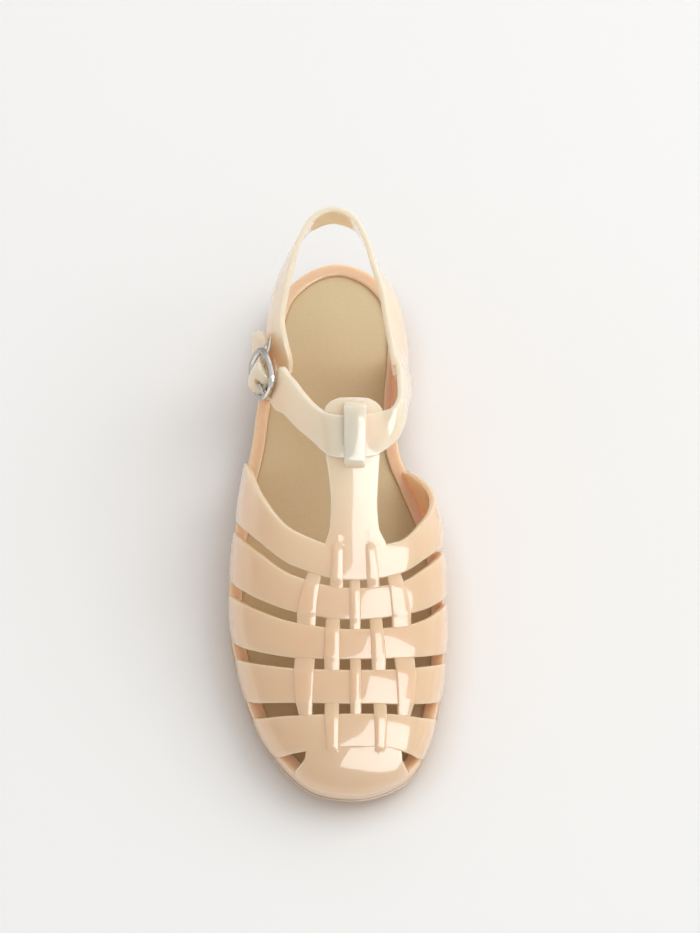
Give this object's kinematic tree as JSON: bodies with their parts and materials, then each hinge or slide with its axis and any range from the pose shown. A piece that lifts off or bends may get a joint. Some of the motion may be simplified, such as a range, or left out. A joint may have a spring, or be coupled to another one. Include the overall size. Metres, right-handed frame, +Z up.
{
  "type": "jelly sandal",
  "caption": "Moulded jelly sandal for the right foot: woven cage upper, T-bar, heel strap and buckled ankle strap on a low-heeled sole.",
  "frame": {"origin": "on the floor, on the flat tread under the heel", "axes": "+Z up, toe towards -Y, medial side towards +X"},
  "size_m": [0.0934, 0.2494, 0.093],
  "materials": {
    "outsole": "satin",
    "upper": "gloss",
    "insole": "satin",
    "metal": "gloss"
  },
  "bodies": {
    "root": {"outsole": "outsole", "upper": "upper", "insole": "insole", "buckle_frame": "metal", "buckle_prong": "metal"}
  },
  "joints": []
}
